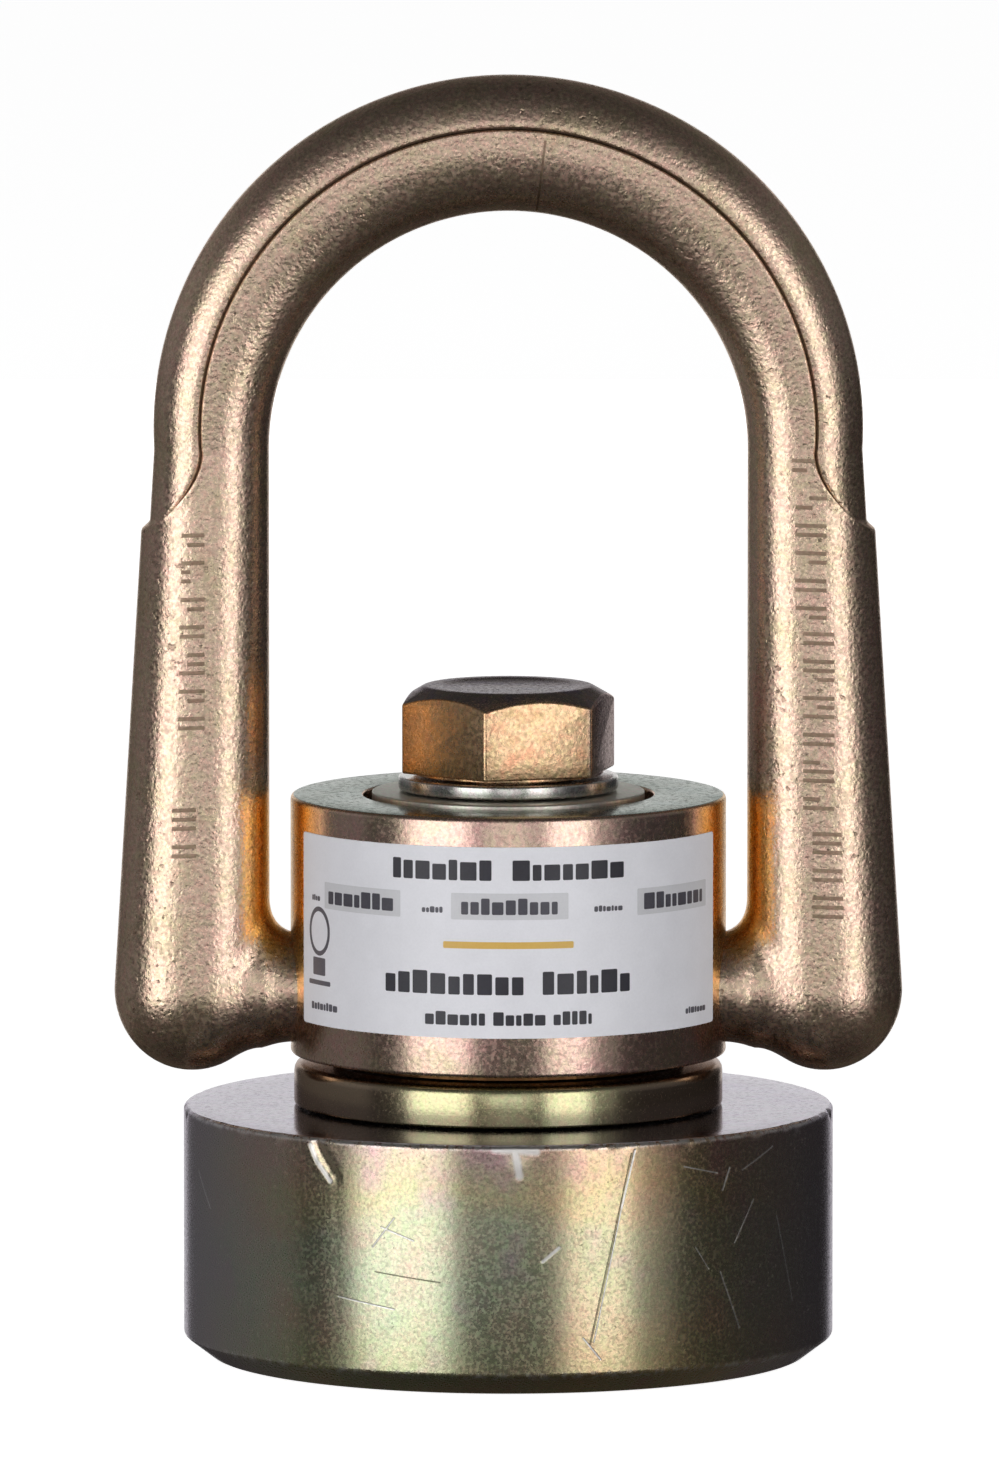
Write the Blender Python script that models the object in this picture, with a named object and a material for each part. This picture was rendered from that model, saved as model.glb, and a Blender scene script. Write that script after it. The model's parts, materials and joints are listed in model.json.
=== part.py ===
"""Swivel roof anchor: a forged bail on a turning body, bolted to a thick weld-on base.

Units are metres and +Z is up. The origin is the centre of the base's flat underside, Z is the
swivel axis, X runs along the bail's trunnions and the label faces -Y.
"""
import math

import bmesh
import bpy
from mathutils import Matrix, Vector

MM = 0.001

# Clearances
GAP = 0.3 * MM                      # between faces that touch on the real object
RUNNING_GAP = 0.3 * MM              # round a bore or a trunnion
ROUND_STEPS = 64                    # facets round a large turned piece
SMALL_STEPS = 48                    # facets round a small one

# Base: a plain disc with a chamfer below for the weld, and a blind tapped hole from the top
BASE_RADIUS = 47.9 * MM
BASE_HEIGHT = 37.0 * MM
WELD_CHAMFER_HEIGHT = 3.1 * MM
WELD_CHAMFER_WIDTH = 4.1 * MM
BASE_TOP_CHAMFER = 0.5 * MM
TAPPED_DEPTH = 27.5 * MM
DRILL_POINT = 3.5 * MM

# Cap screw, 3/4 in by 3 in, its head 1 1/8 in across flats
BOLT_RADIUS = 9.525 * MM
BOLT_LENGTH = 76.2 * MM
BOLT_CLEARANCE = 0.35 * MM
HEAD_FLATS = 28.575 * MM
HEAD_HEIGHT = 13.0 * MM
HEAD_CHAMFER_RADIUS = 12.4 * MM
HEAD_CHAMFER_SLOPE = math.tan(math.radians(30))
HEAD_TURN = math.radians(45.8)      # first corner, measured from the front

# Bushing: a flange on the base, with the sleeve that the body turns on
FLANGE_RADIUS = 31.6 * MM
FLANGE_TOP = 43.4 * MM
FLANGE_CHAMFER = 0.4 * MM
FLANGE_TOP_CHAMFER = 1.0 * MM
SLEEVE_RADIUS = 15.0 * MM
SLEEVE_TOP = 78.2 * MM
GROOVE_DEPTH = 1.0 * MM

# Swivel body
BODY_RADIUS = 32.1 * MM
BODY_BOTTOM = 44.8 * MM
BODY_TOP = 83.0 * MM
BODY_LOWER_CHAMFER = 0.5 * MM
BODY_UPPER_ROUND = 0.6 * MM
BODY_FLAT = 30.6 * MM               # flats milled beside the trunnions, from the swivel axis
BODY_FLAT_TOP = 62.8 * MM
COUNTERBORE_RADIUS = 21.4 * MM
COUNTERBORE_FLOOR = 74.5 * MM
TRUNNION_HOLE_FLOOR = 17.4 * MM     # from the swivel axis

# Washers
LOWER_WASHER_RADIUS = 26.0 * MM
UPPER_WASHER_RADIUS = 20.4 * MM
THRUST_THICKNESS = 0.8 * MM
RING_RADIUS = 17.4 * MM
RING_THICKNESS = 1.2 * MM
RING_OPENING = math.radians(50)
RETAINING_WASHER_RADIUS = 20.1 * MM
RETAINING_WASHER_TOP = 83.5 * MM
HEAD_WASHER_RADIUS = 16.2 * MM
HEAD_WASHER_TOP = 85.8 * MM

# Bail: two legs that thin upwards, an arch, round lower ends and trunnions that point inwards
TRUNNION_HEIGHT = 54.2 * MM
TRUNNION_RADIUS = 8.0 * MM
TRUNNION_REACH = 17.8 * MM          # inner end, from the swivel axis
LEG_INSIDE = 35.2 * MM              # inner line of the legs, and inner radius of the arch
LEG_FOOT_RADIUS = 11.45 * MM
LEG_FOOT_DROP = 12.2 * MM           # from the trunnion axis down to the lowest point
ARCH_SPRING = 134.0 * MM            # height where the legs meet the arch
ARCH_FOOT_RADIUS = 9.05 * MM        # half the bar where the arch begins
ARCH_CROWN_RADIUS = 10.6 * MM       # half the bar at the top, across the arch
LEG_DEPTH_SHARE = 0.86              # front to back, the legs are this much of their width
ARCH_CROWN_DEPTH = 8.6 * MM         # half the bar at the top, front to back
SECTION_POWER = 2.3                 # the sections are squarer than ellipses, whose power is 2
RELIEF_DEPTH = 1.2 * MM             # the outer side of the arch is this much lower
RELIEF_START = 122.0 * MM           # height on the legs where that begins
RELIEF_RUN = 1.6 * MM
STEP_SPRING = 0.065                 # the step's place, in half bars outward of the bar's middle
STEP_CROWN = 0.30
STEP_FOOT = 0.92                    # where it runs out on the legs
STEP_CURVE = 1.9                    # how sharply it turns outward there

# Label, wrapped round the front of the body
LABEL_BOTTOM = 50.7 * MM
LABEL_TOP = 78.8 * MM
LABEL_OFFSET = 0.2 * MM
LABEL_THICKNESS = 0.25 * MM
LABEL_HALF_FACETS = 12              # of the body's facets, each side of the front


def clear_scene():
    for item in list(bpy.data.objects):
        bpy.data.objects.remove(item, do_unlink=True)


def make_material(name, colour, roughness, metallic):
    material = bpy.data.materials.new(name)
    material.use_nodes = True
    shader = material.node_tree.nodes["Principled BSDF"]
    shader.inputs["Base Color"].default_value = (*colour, 1.0)
    shader.inputs["Roughness"].default_value = roughness
    shader.inputs["Metallic"].default_value = metallic
    material.diffuse_color = (*colour, 1.0)
    return material


def add_object(name, mesh_edit, material, location=(0, 0, 0), parent=None):
    """Turn a finished bmesh into a smooth-shaded object with outward faces."""
    bmesh.ops.recalc_face_normals(mesh_edit, faces=mesh_edit.faces)
    mesh = bpy.data.meshes.new(name)
    mesh_edit.to_mesh(mesh)
    mesh_edit.free()
    mesh.shade_smooth()
    mesh.set_sharp_from_angle(angle=math.radians(35))
    item = bpy.data.objects.new(name, mesh)
    bpy.context.scene.collection.objects.link(item)
    item.location = location
    item.parent = parent
    if material:
        mesh.materials.append(material)
    return item


def add_empty(name, location, parent=None):
    item = bpy.data.objects.new(name, None)
    item.empty_display_size = 0.02
    item.location = location
    item.parent = parent
    bpy.context.scene.collection.objects.link(item)
    return item


def turn_profile(profile, steps, start=0.0, sweep=2 * math.pi):
    """Spin a closed outline of (radius, height) points about Z.

    A radius of zero is a pole, and nothing is made between two poles that follow each other.
    """
    mesh_edit = bmesh.new()
    closed = sweep > 2 * math.pi - 1e-6
    columns = steps if closed else steps + 1
    rings = []
    for radius, height in profile:
        if radius == 0:
            rings.append([mesh_edit.verts.new((0, 0, height))] * columns)
            continue
        angles = [start + sweep * step / steps for step in range(columns)]
        rings.append([mesh_edit.verts.new((radius * math.cos(a), radius * math.sin(a), height))
                      for a in angles])
    for index, ring in enumerate(rings):
        following = rings[(index + 1) % len(rings)]
        for step in range(steps):
            after = (step + 1) % columns
            corners = [ring[step], ring[after], following[after], following[step]]
            corners = list(dict.fromkeys(corners))
            if len(corners) > 2:
                mesh_edit.faces.new(corners)
    if not closed:
        mesh_edit.faces.new([ring[0] for ring in rings])
        mesh_edit.faces.new([ring[-1] for ring in reversed(rings)])
    return mesh_edit


def arc_points(centre, radius, first, last, steps):
    """Points of an arc in the (radius, height) plane, its angles in degrees."""
    angles = [math.radians(first + (last - first) * step / steps) for step in range(steps + 1)]
    return [(centre[0] + radius * math.cos(a), centre[1] + radius * math.sin(a)) for a in angles]


def washer_profile(inside, outside, height, chamfer=0.0):
    if chamfer == 0:
        return [(outside, height), (outside, 0), (inside, 0), (inside, height)]
    return [(outside - chamfer, height), (outside, height - chamfer), (outside, chamfer),
            (outside - chamfer, 0), (inside, 0), (inside, height)]


def cut(target, cutter, operation="DIFFERENCE"):
    cutter.hide_render = True
    cutter.display_type = "WIRE"
    modifier = target.modifiers.new(cutter.name, "BOOLEAN")
    modifier.operation = operation
    modifier.solver = "EXACT"
    modifier.object = cutter


def make_base(material):
    hole = BOLT_RADIUS + GAP
    mouth = 1.0 * MM
    floor = BASE_HEIGHT - TAPPED_DEPTH
    profile = [
        (BASE_RADIUS - BASE_TOP_CHAMFER, BASE_HEIGHT),
        (BASE_RADIUS, BASE_HEIGHT - BASE_TOP_CHAMFER),
        (BASE_RADIUS, WELD_CHAMFER_HEIGHT),
        (BASE_RADIUS - WELD_CHAMFER_WIDTH, 0),
        (0, 0),
        (0, floor - DRILL_POINT),
        (hole, floor),
        (hole, BASE_HEIGHT - mouth),
        (hole + mouth, BASE_HEIGHT),
    ]
    return add_object("base_disc", turn_profile(profile, ROUND_STEPS), material)


def make_bushing(material):
    bore = BOLT_RADIUS + BOLT_CLEARANCE
    bottom = BASE_HEIGHT + GAP
    flange = FLANGE_TOP - bottom
    top = SLEEVE_TOP - bottom
    groove_low = retaining_ring_bottom() - GAP - bottom
    groove_high = groove_low + RING_THICKNESS + 2 * GAP
    edge = 0.5 * MM
    profile = [
        (SLEEVE_RADIUS - edge, top),
        (SLEEVE_RADIUS, top - edge),
        (SLEEVE_RADIUS, groove_high),
        (SLEEVE_RADIUS - GROOVE_DEPTH, groove_high),
        (SLEEVE_RADIUS - GROOVE_DEPTH, groove_low),
        (SLEEVE_RADIUS, groove_low),
        (SLEEVE_RADIUS, flange),
        (FLANGE_RADIUS - FLANGE_TOP_CHAMFER, flange),
        (FLANGE_RADIUS, flange - FLANGE_TOP_CHAMFER),
        (FLANGE_RADIUS, FLANGE_CHAMFER),
        (FLANGE_RADIUS - FLANGE_CHAMFER, 0),
        (bore, 0),
        (bore, top),
    ]
    return add_object("flanged_bushing", turn_profile(profile, ROUND_STEPS), material, (0, 0, bottom))


def upper_washer_bottom():
    return COUNTERBORE_FLOOR + GAP


def retaining_ring_bottom():
    return upper_washer_bottom() + THRUST_THICKNESS + GAP


def make_washers(steel, bronze, spring_steel):
    inside = SLEEVE_RADIUS + RUNNING_GAP
    bolt_hole = BOLT_RADIUS + BOLT_CLEARANCE
    lower = washer_profile(inside, LOWER_WASHER_RADIUS, THRUST_THICKNESS)
    add_object("lower_thrust_washer", turn_profile(lower, SMALL_STEPS), bronze,
               (0, 0, FLANGE_TOP + GAP))
    upper = washer_profile(inside, UPPER_WASHER_RADIUS, THRUST_THICKNESS)
    add_object("upper_thrust_washer", turn_profile(upper, SMALL_STEPS), bronze,
               (0, 0, upper_washer_bottom()))
    ring = washer_profile(SLEEVE_RADIUS - GROOVE_DEPTH + GAP, RING_RADIUS, RING_THICKNESS)
    start = math.radians(90) + RING_OPENING / 2
    add_object("retaining_ring",
               turn_profile(ring, SMALL_STEPS, start, 2 * math.pi - RING_OPENING), spring_steel,
               (0, 0, retaining_ring_bottom()))
    bottom = SLEEVE_TOP + GAP
    cap = washer_profile(bolt_hole, RETAINING_WASHER_RADIUS, RETAINING_WASHER_TOP - bottom, 0.4 * MM)
    add_object("retaining_washer", turn_profile(cap, SMALL_STEPS), steel, (0, 0, bottom))
    bottom = RETAINING_WASHER_TOP + GAP
    plain = washer_profile(bolt_hole, HEAD_WASHER_RADIUS, HEAD_WASHER_TOP - bottom, 0.3 * MM)
    add_object("head_washer", turn_profile(plain, SMALL_STEPS), steel, (0, 0, bottom))


def make_bolt(material):
    """Hex head trimmed by a chamfer cone, with the plain shank joined on."""
    head_bottom = HEAD_WASHER_TOP + GAP
    corner = HEAD_FLATS / math.sqrt(3)
    tip = 1.6 * MM
    first = HEAD_TURN - math.radians(90)
    prism = turn_profile([(corner, HEAD_HEIGHT), (corner, 0), (0, 0), (0, HEAD_HEIGHT)], 6, first)
    bolt = add_object("hex_bolt", prism, material, (0, 0, head_bottom))
    rim = corner + 1.0 * MM
    drop = (rim - HEAD_CHAMFER_RADIUS) * HEAD_CHAMFER_SLOPE
    cone = [(HEAD_CHAMFER_RADIUS, HEAD_HEIGHT), (rim, HEAD_HEIGHT - drop), (rim, -1.0 * MM),
            (0, -1.0 * MM), (0, HEAD_HEIGHT)]
    trim = add_object("head_trim", turn_profile(cone, SMALL_STEPS), None, (0, 0, head_bottom))
    cut(bolt, trim, "INTERSECT")
    shank = [(BOLT_RADIUS, 1.0 * MM), (BOLT_RADIUS, tip - BOLT_LENGTH),
             (BOLT_RADIUS - tip, -BOLT_LENGTH), (0, -BOLT_LENGTH), (0, 1.0 * MM)]
    stem = add_object("shank_join", turn_profile(shank, SMALL_STEPS), None, (0, 0, head_bottom))
    cut(bolt, stem, "UNION")
    return bolt


def make_body(material, axis):
    height = BODY_TOP - BODY_BOTTOM
    floor = COUNTERBORE_FLOOR - BODY_BOTTOM
    bore = SLEEVE_RADIUS + RUNNING_GAP
    top_round = (BODY_RADIUS - BODY_UPPER_ROUND, height - BODY_UPPER_ROUND)
    profile = arc_points(top_round, BODY_UPPER_ROUND, 90, 0, 2)
    profile += [(BODY_RADIUS, BODY_LOWER_CHAMFER), (BODY_RADIUS - BODY_LOWER_CHAMFER, 0)]
    profile += [(bore, 0), (bore, floor), (COUNTERBORE_RADIUS, floor), (COUNTERBORE_RADIUS, height)]
    body = add_object("swivel_body", turn_profile(profile, ROUND_STEPS), material, (0, 0, 0), axis)
    flat_top = BODY_FLAT_TOP - BODY_BOTTOM
    for side, name in ((1, "right_flat"), (-1, "left_flat")):
        block = bmesh.new()
        matrix = (Matrix.Translation((side * (BODY_FLAT + 5 * MM), 0, flat_top / 2 - 1 * MM))
                  @ Matrix.Diagonal((10 * MM, 40 * MM, flat_top + 2 * MM, 1)))
        bmesh.ops.create_cube(block, size=1, matrix=matrix)
        cut(body, add_object(name, block, None, (0, 0, 0), axis))
    hole = TRUNNION_RADIUS + RUNNING_GAP
    for side, name in ((1, "right_hole"), (-1, "left_hole")):
        length = BODY_RADIUS + 5 * MM - TRUNNION_HOLE_FLOOR
        drill = turn_profile([(hole, length), (hole, 0), (0, 0), (0, length)], 32)
        bmesh.ops.rotate(drill, verts=drill.verts, cent=Vector(),
                         matrix=Matrix.Rotation(side * math.pi / 2, 3, "Y"))
        cutter = add_object(name, drill, None,
                            (side * TRUNNION_HOLE_FLOOR, 0, TRUNNION_HEIGHT - BODY_BOTTOM), axis)
        cut(body, cutter)
    return body


def make_label(material, axis):
    inside = BODY_RADIUS + LABEL_OFFSET
    profile = washer_profile(inside, inside + LABEL_THICKNESS, LABEL_TOP - LABEL_BOTTOM)
    half = LABEL_HALF_FACETS * 2 * math.pi / ROUND_STEPS
    sheet = turn_profile(profile, 2 * LABEL_HALF_FACETS, -math.pi / 2 - half, 2 * half)
    return add_object("label", sheet, material, (0, 0, LABEL_BOTTOM - BODY_BOTTOM), axis)


def blend(low, high, fraction):
    return low + (high - low) * min(max(fraction, 0.0), 1.0)


class Station:
    """One cross-section of the bail: its centre, outward direction, half sizes and step."""

    def __init__(self, centre, outward, width, depth, relief=0.0, step=STEP_SPRING):
        self.centre = centre
        self.outward = outward
        self.width = width
        self.depth = depth
        self.relief = relief
        self.step = step

    def mirrored(self):
        return Station((-self.centre[0], self.centre[1]), (-self.outward[0], self.outward[1]),
                       self.width, self.depth, self.relief, self.step)


def leg_radius(height):
    share = (height - TRUNNION_HEIGHT) / (ARCH_SPRING - TRUNNION_HEIGHT)
    return blend(LEG_FOOT_RADIUS, ARCH_FOOT_RADIUS, share)


def leg_station(height):
    radius = leg_radius(height)
    relief = blend(0, RELIEF_DEPTH, (height - RELIEF_START) / RELIEF_RUN)
    fall = (ARCH_SPRING - height) / (ARCH_SPRING - RELIEF_START)
    if fall <= 1:
        step = min(blend(STEP_SPRING, 1, fall ** STEP_CURVE), STEP_FOOT)
    else:
        step = blend(STEP_FOOT, STEP_SPRING, (fall - 1) / 2)
    depth = radius * LEG_DEPTH_SHARE
    return Station((LEG_INSIDE + radius, height), (1, 0), radius, depth, relief, step)


def foot_station(angle):
    """Section of the rounded lower end, its angle measured up from the lowest point."""
    size = LEG_FOOT_RADIUS * math.sin(angle)
    height = TRUNNION_HEIGHT - LEG_FOOT_DROP * math.cos(angle)
    return Station((LEG_INSIDE + LEG_FOOT_RADIUS, height), (1, 0), size, size * LEG_DEPTH_SHARE)


def arch_station(angle):
    rise = math.sin(angle)
    width = blend(ARCH_FOOT_RADIUS, ARCH_CROWN_RADIUS, rise)
    depth = blend(ARCH_FOOT_RADIUS * LEG_DEPTH_SHARE, ARCH_CROWN_DEPTH, rise)
    reach = LEG_INSIDE + width
    centre = (reach * math.cos(angle), ARCH_SPRING + reach * math.sin(angle))
    step = blend(STEP_SPRING, STEP_CROWN, angle / (math.pi / 2))
    return Station(centre, (math.cos(angle), math.sin(angle)), width, depth, RELIEF_DEPTH, step)


def face_height(across):
    """Height of the front face at a share of the half width, as a share of the half depth."""
    return (1 - abs(across) ** SECTION_POWER) ** (1 / SECTION_POWER)


def section_points(station):
    """Points round one section: the full inner side, the step, and the lower outer side."""
    inner_steps, outer_steps, step_width = 7, 5, 4.0
    step_angle = math.degrees(math.acos(-station.step))
    half = [(step_angle * i / inner_steps, 0.0) for i in range(inner_steps + 1)]
    first = step_angle + step_width
    half += [(first + (180 - first) * i / outer_steps, station.relief)
             for i in range(outer_steps + 1)]
    loop = [(angle, lower, -1) for angle, lower in half]
    loop += [(angle, lower, 1) for angle, lower in reversed(half[1:-1])]
    points = []
    for angle, lower, side in loop:
        across = -math.cos(math.radians(angle))
        along = across * (station.width - lower)
        x = station.centre[0] + station.outward[0] * along
        z = station.centre[1] + station.outward[1] * along
        points.append(Vector((x, side * face_height(across) * (station.depth - lower), z)))
    return points


def make_bail(material, axis):
    foot = [foot_station(math.radians(a)) for a in (20, 40, 60, 80)]
    heights = [TRUNNION_HEIGHT + (RELIEF_START - TRUNNION_HEIGHT) * i / 5 for i in range(6)]
    heights += [RELIEF_START + RELIEF_RUN, 125.5 * MM, 128.5 * MM]
    legs = [leg_station(height) for height in heights]
    arch = [arch_station(math.pi / 2 * i / 12) for i in range(13)]
    right = foot + legs + arch
    stations = right + [station.mirrored() for station in reversed(right[:-1])]
    mesh_edit = bmesh.new()
    shift = Vector((0, 0, -TRUNNION_HEIGHT))
    rings = [[mesh_edit.verts.new(point + shift) for point in section_points(station)]
             for station in stations]
    count = len(rings[0])
    for ring, following in zip(rings, rings[1:]):
        for index in range(count):
            after = (index + 1) % count
            mesh_edit.faces.new([ring[index], ring[after], following[after], following[index]])
    for side, ring in ((1, rings[0]), (-1, rings[-1])):
        pole = mesh_edit.verts.new((side * (LEG_INSIDE + LEG_FOOT_RADIUS), 0, -LEG_FOOT_DROP))
        for index in range(count):
            mesh_edit.faces.new([ring[index], ring[(index + 1) % count], pole])
    bail = add_object("bail", mesh_edit, material, (0, 0, 0), axis)
    for side, name in ((1, "right_trunnion"), (-1, "left_trunnion")):
        cut(bail, make_trunnion(name, side, axis), "UNION")
    return bail


def make_trunnion(name, side, axis):
    """A pin that flares into the leg's rounded end."""
    edge = 0.5 * MM
    flare_start = 33.0 * MM
    flare_end = LEG_INSIDE + LEG_FOOT_RADIUS
    flare_growth = 1.6 * MM
    profile = [(0, TRUNNION_REACH), (TRUNNION_RADIUS - edge, TRUNNION_REACH),
               (TRUNNION_RADIUS, TRUNNION_REACH + edge)]
    for step in range(7):
        share = step / 6
        radius = TRUNNION_RADIUS + flare_growth * math.sin(share * math.pi / 2) ** 1.5
        profile.append((radius, flare_start + (flare_end - flare_start) * share))
    profile.append((0, flare_end))
    pin = turn_profile(profile, 32, math.radians(3))
    bmesh.ops.rotate(pin, verts=pin.verts, cent=Vector(),
                     matrix=Matrix.Rotation(side * math.pi / 2, 3, "Y"))
    return add_object(name, pin, None, (0, 0, 0), axis)


def main():
    clear_scene()
    plated = make_material("yellow_zinc_steel", (0.62, 0.5, 0.24), 0.32, 1.0)
    forged = make_material("yellow_zinc_forging", (0.6, 0.47, 0.22), 0.42, 1.0)
    washer = make_material("bright_zinc_steel", (0.7, 0.7, 0.68), 0.3, 1.0)
    bronze = make_material("bronze", (0.55, 0.36, 0.16), 0.4, 1.0)
    spring_steel = make_material("spring_steel", (0.18, 0.18, 0.2), 0.4, 1.0)
    vinyl = make_material("vinyl", (0.62, 0.62, 0.66), 0.55, 0.0)
    swivel_axis = add_empty("swivel_axis", (0, 0, BODY_BOTTOM))
    trunnion_axis = add_empty("trunnion_axis", (0, 0, TRUNNION_HEIGHT - BODY_BOTTOM), swivel_axis)
    make_base(plated)
    make_bushing(plated)
    make_washers(washer, bronze, spring_steel)
    make_bolt(plated)
    make_body(plated, swivel_axis)
    make_label(vinyl, swivel_axis)
    make_bail(forged, trunnion_axis)


main()
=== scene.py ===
"""Looks of the swivel roof anchor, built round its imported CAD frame.

Units are metres, +Z is up, the swivel axis is Z, the trunnions lie along X and the label faces -Y.
Every fine piece takes its outer sizes from the CAD node that it stands for.
"""
import json
import random
from collections import namedtuple
from math import acos, atan2, cos, degrees, exp, hypot, pi, radians, sin, sqrt, tan

import bmesh
import bpy
import numpy as np
from mathutils import Matrix, Vector


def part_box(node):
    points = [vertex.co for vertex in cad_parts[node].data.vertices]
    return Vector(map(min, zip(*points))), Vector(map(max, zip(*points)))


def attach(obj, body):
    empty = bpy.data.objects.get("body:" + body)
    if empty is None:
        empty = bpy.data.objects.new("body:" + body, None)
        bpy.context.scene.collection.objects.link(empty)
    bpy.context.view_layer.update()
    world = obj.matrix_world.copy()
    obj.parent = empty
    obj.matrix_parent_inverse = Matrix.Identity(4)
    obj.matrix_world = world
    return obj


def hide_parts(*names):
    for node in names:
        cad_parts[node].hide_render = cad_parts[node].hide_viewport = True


MM = 0.001
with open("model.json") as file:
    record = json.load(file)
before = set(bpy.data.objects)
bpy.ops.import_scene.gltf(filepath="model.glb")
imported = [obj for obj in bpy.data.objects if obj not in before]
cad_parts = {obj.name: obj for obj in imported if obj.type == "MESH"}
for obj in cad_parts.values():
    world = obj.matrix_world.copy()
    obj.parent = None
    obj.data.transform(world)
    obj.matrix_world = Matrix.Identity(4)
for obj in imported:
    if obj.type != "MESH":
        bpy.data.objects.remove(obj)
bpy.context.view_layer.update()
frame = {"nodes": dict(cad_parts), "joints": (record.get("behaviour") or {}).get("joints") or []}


# ---- sizes read from the frame

class Span:
    """A CAD node's outer radius, lower face and upper face."""

    def __init__(self, node):
        low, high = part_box(node)
        self.radius = max(high.x, high.y, -low.y)
        self.low = low.z
        self.high = high.z


base = Span("base_disc")
bushing = Span("flanged_bushing")
body = Span("swivel_body")
retainer = Span("retaining_washer")
head_washer = Span("head_washer")
bolt = Span("hex_bolt")
label = Span("label")
bail_low, bail_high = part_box("bail")
tilt = next(joint for joint in frame["joints"] if joint["name"] == "bail_tilt")

# Bail, its two trunnion pins and its step line, repeated from the design
PIN_HEIGHT = tilt["pos_m"][2]
PIN_RADIUS = 8.0 * MM
PIN_END = 17.8 * MM
LEG_INSIDE = 35.2 * MM
FOOT_RADIUS = (bail_high.x - LEG_INSIDE) / 2
FOOT_DROP = PIN_HEIGHT - bail_low.z
ARCH_SPRING = 134.0 * MM
SPRING_RADIUS = 9.05 * MM
RELIEF = 1.2 * MM
CROWN_RADIUS = (bail_high.z + RELIEF - ARCH_SPRING - LEG_INSIDE) / 2
LEG_DEPTH_SHARE = 0.86
CROWN_DEPTH = 8.6 * MM
SECTION_POWER = 2.3
RELIEF_START = 122.0 * MM
RELIEF_RUN = 1.6 * MM
STEP_SPRING = 0.065
STEP_CROWN = 0.175
STEP_FOOT = 0.94
STEP_CURVE = 1.9


# ---- mesh helpers

SHARP = radians(35)                  # edges that turn more than this stay crisp


def link(name, data):
    item = bpy.data.objects.new(name, data)
    bpy.context.scene.collection.objects.link(item)
    return item


def new_object(name, bm):
    mesh = bpy.data.meshes.new(name)
    bm.to_mesh(mesh)
    bm.free()
    mesh.shade_smooth()
    mesh.set_sharp_from_angle(angle=SHARP)
    return link(name, mesh)


def soften(profile, steps=4):
    """Round the corners of a closed outline. Each point is (radius, height, rounding)."""
    result = []
    count = len(profile)
    for index, (r, z, rounding) in enumerate(profile):
        if rounding == 0:
            result.append((r, z))
            continue
        here = Vector((r, z))
        before = Vector(profile[index - 1][:2]) - here
        after = Vector(profile[(index + 1) % count][:2]) - here
        reach = min(rounding, before.length * 0.49, after.length * 0.49)
        start = here + before.normalized() * reach
        end = here + after.normalized() * reach
        for step in range(steps + 1):
            t = step / steps
            point = start * (1 - t) ** 2 + here * 2 * t * (1 - t) + end * t * t
            result.append((point.x, point.y))
    return result


def skin(bm, rings, capped=True):
    """Join rings of corners one after another, and close the two ends."""
    count = len(rings[0])
    for ring, following in zip(rings, rings[1:]):
        for index in range(count):
            after = (index + 1) % count
            bm.faces.new([ring[index], ring[after], following[after], following[index]])
    if capped:
        bm.faces.new(rings[0])
        bm.faces.new(list(reversed(rings[-1])))


def face_outward(bm):
    bmesh.ops.recalc_face_normals(bm, faces=bm.faces)


def turned(profile, steps, phase=0.0):
    """Spin a closed outline of (radius, height) points about Z. A radius of zero is a pole."""
    bm = bmesh.new()
    rings = []
    for radius, height in profile:
        if radius == 0:
            rings.append([bm.verts.new((0, 0, height))] * steps)
            continue
        angles = [phase + 2 * pi * step / steps for step in range(steps)]
        rings.append([bm.verts.new((radius * cos(a), radius * sin(a), height))
                      for a in angles])
    for index, ring in enumerate(rings):
        following = rings[(index + 1) % len(rings)]
        for step in range(steps):
            after = (step + 1) % steps
            corners = list(dict.fromkeys((ring[step], ring[after], following[after], following[step])))
            if len(corners) > 2:
                bm.faces.new(corners)
    face_outward(bm)
    return bm


def merge(target, bm, mirrored=False):
    """Add one shape to another, and also its mirror image in X if that is wanted."""
    mesh = bpy.data.meshes.new("part")
    bm.to_mesh(mesh)
    bm.free()
    target.from_mesh(mesh)
    if mirrored:
        mesh.transform(Matrix.Scale(-1, 4, (1, 0, 0)))
        mesh.flip_normals()
        target.from_mesh(mesh)
    bpy.data.meshes.remove(mesh)


def apply_modifiers(item):
    """Bake an object's modifiers into its mesh."""
    evaluated = item.evaluated_get(bpy.context.evaluated_depsgraph_get())
    mesh = bpy.data.meshes.new_from_object(evaluated)
    item.modifiers.clear()
    item.data = mesh
    mesh.shade_smooth()
    mesh.set_sharp_from_angle(angle=SHARP)


def boolean(target, cutter, operation="DIFFERENCE", materials="INDEX"):
    modifier = target.modifiers.new("cut", "BOOLEAN")
    modifier.operation = operation
    modifier.solver = "EXACT"
    modifier.material_mode = materials
    modifier.object = cutter
    bpy.context.view_layer.update()
    apply_modifiers(target)
    bpy.data.objects.remove(cutter, do_unlink=True)
    return target


# ---- bail

# One cross-section of the bar. Width and depth are half sizes, and step is a share of the half width
Section = namedtuple("Section", "centre outward width depth relief step")


def face_height(across):
    """Height of the front face at a share of the half width, as a share of the half depth."""
    return (1 - abs(across) ** SECTION_POWER) ** (1 / SECTION_POWER)


def leg_radius(height):
    share = np.clip((height - PIN_HEIGHT) / (ARCH_SPRING - PIN_HEIGHT), 0, 1)
    return FOOT_RADIUS + (SPRING_RADIUS - FOOT_RADIUS) * share


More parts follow.
